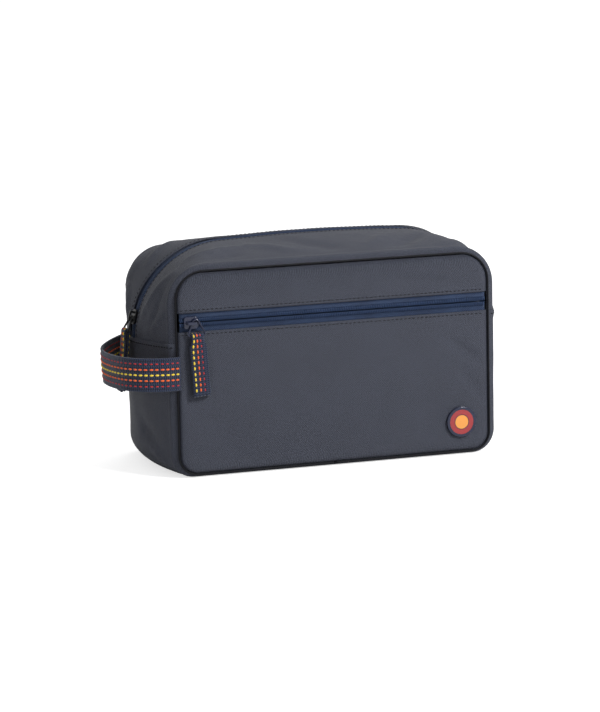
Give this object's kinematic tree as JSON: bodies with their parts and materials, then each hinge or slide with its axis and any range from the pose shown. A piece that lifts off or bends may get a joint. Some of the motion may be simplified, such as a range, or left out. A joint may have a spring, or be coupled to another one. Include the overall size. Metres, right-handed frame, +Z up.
{
  "type": "shaving kit bag",
  "caption": "Boxy zip-top shaving kit bag in dark coated canvas, with a zipped front pocket, webbing pulls on rings and a striped webbing side handle.",
  "frame": {"origin": "middle of the flat base the bag stands on", "axes": "+X along the bag towards the end without the handle, -Y out of the front pocket's panel, +Z up"},
  "size_m": [0.3027, 0.1243, 0.1682],
  "materials": {
    "coated_canvas": "satin, fine woven grain under a thin coating",
    "lining_cloth": "smooth woven",
    "seam_binding": "woven tape",
    "stiffener_board": "matte",
    "zip_tape": "woven",
    "zip_coil": "semi-gloss",
    "black_metal": "semi-gloss black",
    "striped_webbing": "ribbed webbing with yellow, orange and red stripe stitching",
    "badge_metal": "glossy dark navy",
    "enamel_red": "glossy enamel",
    "enamel_amber": "glossy enamel"
  },
  "bodies": {
    "bag": {"front_pocket_panel": "coated_canvas", "front_panel_upper": "coated_canvas", "back_panel": "coated_canvas", "lower_gusset": "coated_canvas", "top_gusset_front_shoulders": "coated_canvas", "top_gusset_rear_shoulders": "coated_canvas", "front_pocket_lining": "lining_cloth", "lining_front": "lining_cloth", "lining_back": "lining_cloth", "lining_gusset": "lining_cloth", "lining_top_front_shoulders": "lining_cloth", "lining_top_rear_shoulders": "lining_cloth", "seam_binding_front": "seam_binding", "seam_binding_rear": "seam_binding", "base_stiffener": "stiffener_board", "main_zip_tape_front_shoulders": "zip_tape", "main_zip_tape_rear_shoulders": "zip_tape", "main_zip_coil_front_shoulders": "zip_coil", "main_zip_coil_rear_shoulders": "zip_coil", "front_zip_tape_lower": "zip_tape", "front_zip_tape_upper": "zip_tape", "front_zip_coil_lower": "zip_coil", "front_zip_coil_upper": "zip_coil", "webbing_handle": "striped_webbing", "badge_disc": "badge_metal", "badge_post": "badge_metal", "badge_washer": "badge_metal", "badge_enamel_outer": "enamel_red", "badge_enamel_inner": "enamel_amber"},
    "front_flap": {"top_gusset_front_flap": "coated_canvas", "lining_top_front_flap": "lining_cloth", "main_zip_tape_front_flap": "zip_tape", "main_zip_coil_front_flap": "zip_coil"},
    "rear_flap": {"top_gusset_rear_flap": "coated_canvas", "lining_top_rear_flap": "lining_cloth", "main_zip_tape_rear_flap": "zip_tape", "main_zip_coil_rear_flap": "zip_coil"},
    "main_zip_slider": {"main_slider": "black_metal"},
    "main_ring": {"main_pull_ring": "black_metal"},
    "main_pull": {"main_webbing_pull": "striped_webbing"},
    "pocket_zip_slider": {"front_slider": "black_metal"},
    "pocket_ring": {"front_pull_ring": "black_metal"},
    "pocket_pull": {"front_webbing_pull": "striped_webbing"}
  },
  "joints": [
    {"name": "front_flap_open", "type": "hinge", "parent": "bag", "child": "front_flap", "pos_m": [0, -0.058, 0.151], "axis": [1, 0, 0], "range_deg": [0, 50]},
    {"name": "rear_flap_open", "type": "hinge", "parent": "bag", "child": "rear_flap", "pos_m": [0, 0.058, 0.151], "axis": [-1, 0, 0], "range_deg": [0, 50]},
    {"name": "main_slider_travel", "type": "hinge", "parent": "bag", "child": "main_zip_slider", "pos_m": [-0.062, 0, 0.092], "axis": [0, 1, 0], "range_deg": [0, 38]},
    {"name": "main_ring_swing", "type": "hinge", "parent": "main_zip_slider", "child": "main_ring", "pos_m": [-0.13798, 0, 0.11307], "axis": [0, 1, 0], "range_deg": [-3, 7]},
    {"name": "main_pull_swing", "type": "hinge", "parent": "main_ring", "child": "main_pull", "pos_m": [-0.14301, 0, 0.10229], "axis": [0, 1, 0], "range_deg": [-4, 8]},
    {"name": "pocket_slider_travel", "type": "slide", "parent": "bag", "child": "pocket_zip_slider", "axis": [1, 0, 0], "range_m": [0, 0.216]},
    {"name": "pocket_ring_swing", "type": "hinge", "parent": "pocket_zip_slider", "child": "pocket_ring", "pos_m": [-0.107, -0.06225, 0.115], "axis": [0, -1, 0], "range_deg": [-8, 120]},
    {"name": "pocket_pull_lift", "type": "hinge", "parent": "pocket_ring", "child": "pocket_pull", "pos_m": [-0.10642, -0.06225, 0.10552], "axis": [-0.9981, 0, -0.061], "range_deg": [0, 105]}
  ]
}
